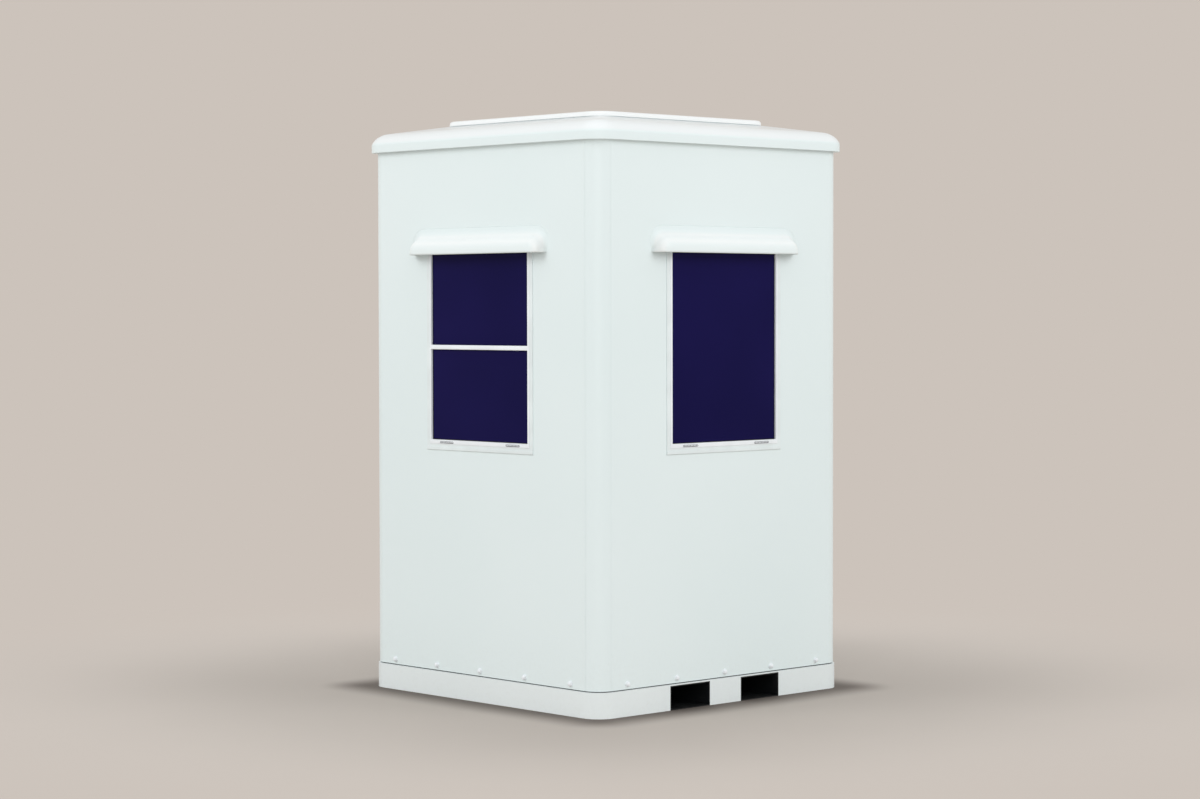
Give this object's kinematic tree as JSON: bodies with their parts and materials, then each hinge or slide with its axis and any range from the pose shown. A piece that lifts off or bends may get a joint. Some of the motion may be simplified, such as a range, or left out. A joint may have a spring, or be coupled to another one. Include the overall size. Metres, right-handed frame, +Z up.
{
  "type": "security guard booth",
  "caption": "Square white moulded guard booth with rounded corners, hooded windows, a low roof cap with a raised crown, and a base with fork pockets.",
  "frame": {"origin": "on the ground, under the middle of the booth", "axes": "+Z up, -Y towards the front with the two-pane window, +X towards the right side with the fork pockets"},
  "size_m": [1.62, 1.62, 2.55],
  "materials": {
    "gelcoat": "glossy white gelcoat on glass-fibre sandwich",
    "base": "glossy white gelcoat, slightly greyer",
    "frame": "white powder-coated aluminium",
    "glass": "dark navy tinted glass",
    "fork_tube": "black painted steel",
    "seal": "matt black rubber",
    "deck": "grey vinyl sheet on board",
    "fittings": "brushed stainless steel"
  },
  "bodies": {
    "root": {"front_wall": "gelcoat", "right_wall": "gelcoat", "left_wall": "gelcoat", "back_wall_left": "gelcoat", "back_wall_right": "gelcoat", "back_wall_header": "gelcoat", "corner_front_left": "gelcoat", "corner_front_right": "gelcoat", "corner_back_left": "gelcoat", "corner_back_right": "gelcoat", "roof_cap": "gelcoat", "crown_curb": "gelcoat", "crown_lid": "gelcoat", "front_hood": "gelcoat", "right_hood": "gelcoat", "left_hood": "gelcoat", "door_hood": "gelcoat", "door_leaf": "gelcoat", "base_front": "base", "base_back": "base", "base_right": "base", "base_left": "base", "front_window_frame": "frame", "right_window_frame": "frame", "left_window_frame": "frame", "front_sill": "frame", "right_sill": "frame", "left_sill": "frame", "door_frame": "frame", "front_glass_upper": "glass", "front_glass_lower": "glass", "right_glass": "glass", "left_glass": "glass", "door_glass": "glass", "fork_tube_front": "fork_tube", "fork_tube_back": "fork_tube", "base_seal": "seal", "floor_deck": "deck", "door_threshold": "fittings", "door_hinges": "fittings", "door_handle": "fittings"}
  },
  "joints": []
}
